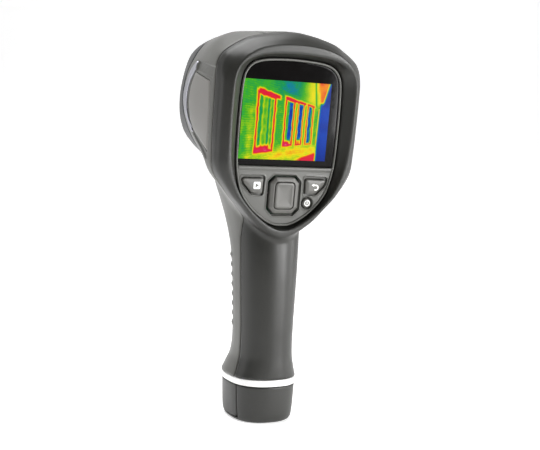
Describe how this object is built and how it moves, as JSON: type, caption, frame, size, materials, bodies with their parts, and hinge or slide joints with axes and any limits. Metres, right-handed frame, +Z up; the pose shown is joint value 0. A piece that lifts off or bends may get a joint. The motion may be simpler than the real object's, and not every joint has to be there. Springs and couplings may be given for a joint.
{
  "type": "thermal imaging camera",
  "caption": "Hand-held pistol-grip thermal imaging camera with a rear display and keypad, a lens with a sliding cover, a trigger and a slide-out battery foot.",
  "frame": {"origin": "middle of the handle on the underside of the battery foot", "axes": "+Z up along the handle, +Y towards the scene that the lens looks at, -Y towards the user, +X to the user's right"},
  "size_m": [0.0963, 0.1213, 0.244],
  "materials": {
    "dark_rubber": "soft-touch dark grey elastomer, satin",
    "grey_plastic": "fine spark-textured grey moulding",
    "panel_plastic": "lighter grey satin moulding",
    "bright_trim": "polished bright strip",
    "bumper_rubber": "black grey elastomer",
    "black_gloss": "gloss black",
    "clear_window": "coated glass",
    "black_plastic": "matt black moulding",
    "aluminium": "turned and anodised",
    "germanium": "coated germanium",
    "core_metal": "machined housing",
    "circuit_board": "green solder mask",
    "steel": "plated steel",
    "display_glass": "clear window over the display",
    "display_panel": "lit display",
    "gasket_foam": "closed-cell foam",
    "keypad_plastic": "satin dark grey plate",
    "key_rubber": "satin silicone keys with pale marks",
    "trigger_plastic": "satin moulding",
    "pale_ring": "pale satin ring",
    "battery_wrap": "moulded battery case",
    "gold_contacts": "gold plated pads",
    "foot_plastic": "textured dark grey moulding"
  },
  "bodies": {
    "housing": {"rear_housing": "dark_rubber", "front_housing": "grey_plastic", "side_panel_left": "panel_plastic", "side_panel_right": "panel_plastic", "trim_strip_left": "bright_trim", "trim_strip_right": "bright_trim", "front_bumper": "bumper_rubber", "nose_plate": "black_gloss", "camera_window": "clear_window", "visible_camera": "black_plastic", "lens_barrel": "aluminium", "infrared_lens": "germanium", "lens_ring": "aluminium", "sensor_core": "core_metal", "sensor_board": "circuit_board", "flag_motor": "steel", "main_board": "circuit_board", "board_shields": "steel", "display_window": "display_glass", "lcd_panel": "display_panel", "display_gasket": "gasket_foam", "keypad_plate": "keypad_plastic", "keypad_board": "circuit_board", "key_switches": "steel", "usb_socket": "steel", "usb_board": "circuit_board", "trigger_pin": "steel", "trigger_bracket": "black_plastic", "trigger_spring": "steel", "trigger_switch": "black_plastic", "battery_sleeve": "black_plastic", "contact_block": "black_plastic", "handle_ring": "pale_ring", "housing_screws": "steel"},
    "lens_cover": {"lens_cover": "black_plastic"},
    "calibration_flag": {"calibration_flag": "black_plastic"},
    "archive_button": {"archive_button": "key_rubber"},
    "back_button": {"back_button": "key_rubber"},
    "power_button": {"power_button": "key_rubber"},
    "nav_gimbal": {"nav_gimbal": "black_plastic"},
    "nav_ring": {"nav_ring": "key_rubber"},
    "nav_key": {"nav_key": "key_rubber"},
    "usb_cover": {"usb_cover": "dark_rubber"},
    "trigger": {"trigger": "trigger_plastic"},
    "battery": {"battery_pack": "battery_wrap", "battery_contacts": "gold_contacts", "battery_foot": "foot_plastic", "latch_springs": "steel"},
    "battery_latch_left": {"battery_latch_left": "foot_plastic"},
    "battery_latch_right": {"battery_latch_right": "foot_plastic"}
  },
  "joints": [
    {"name": "trigger_pull", "type": "hinge", "parent": "housing", "child": "trigger", "pos_m": [0, 0.03, 0.138], "axis": [-1, 0, 0], "range_deg": [0, 9], "stiffness_Nm_per_rad": 0.6, "springref_deg": -6.88},
    {"name": "archive_button_press", "type": "slide", "parent": "housing", "child": "archive_button", "axis": [0, 0.9939, 0.1103], "range_m": [0, 0.0008], "stiffness_N_per_m": 1200, "springref_m": -0.0004},
    {"name": "back_button_press", "type": "slide", "parent": "housing", "child": "back_button", "axis": [0, 0.9939, 0.1103], "range_m": [0, 0.0008], "stiffness_N_per_m": 1200, "springref_m": -0.0004},
    {"name": "power_button_press", "type": "slide", "parent": "housing", "child": "power_button", "axis": [0, 0.9939, 0.1103], "range_m": [0, 0.0008], "stiffness_N_per_m": 1200, "springref_m": -0.0004},
    {"name": "nav_tip_up_down", "type": "hinge", "parent": "housing", "child": "nav_gimbal", "pos_m": [0.0002, -0.01909, 0.14363], "axis": [1, 0, 0], "range_deg": [-3, 3], "stiffness_Nm_per_rad": 0.4},
    {"name": "nav_tip_left_right", "type": "hinge", "parent": "nav_gimbal", "child": "nav_ring", "pos_m": [0.0002, -0.01979, 0.14355], "axis": [0, -0.1103, 0.9939], "range_deg": [-3, 3], "stiffness_Nm_per_rad": 0.4},
    {"name": "nav_key_press", "type": "slide", "parent": "nav_ring", "child": "nav_key", "axis": [0, 0.9939, 0.1103], "range_m": [0, 0.0006], "stiffness_N_per_m": 1200, "springref_m": -0.0004},
    {"name": "lens_cover_slide", "type": "slide", "parent": "housing", "child": "lens_cover", "axis": [0, -0.2079, 0.9781], "range_m": [0, 0.0205]},
    {"name": "usb_cover_hinge", "type": "hinge", "parent": "housing", "child": "usb_cover", "pos_m": [0, 0.0049, 0.244], "axis": [-1, 0, 0], "range_deg": [0, 100]},
    {"name": "flag_swing", "type": "hinge", "parent": "housing", "child": "calibration_flag", "pos_m": [0.017, 0.03426, 0.20024], "axis": [0, -0.9781, -0.2079], "range_deg": [0, 90]},
    {"name": "battery_slide", "type": "slide", "parent": "housing", "child": "battery", "axis": [0, 0, -1], "range_m": [0, 0.115]},
    {"name": "latch_left_press", "type": "slide", "parent": "battery", "child": "battery_latch_left", "axis": [1, 0, 0], "range_m": [0, 0.0012], "stiffness_N_per_m": 800, "springref_m": -0.001},
    {"name": "latch_right_press", "type": "slide", "parent": "battery", "child": "battery_latch_right", "axis": [-1, 0, 0], "range_m": [0, 0.0012], "stiffness_N_per_m": 800, "springref_m": -0.001}
  ]
}
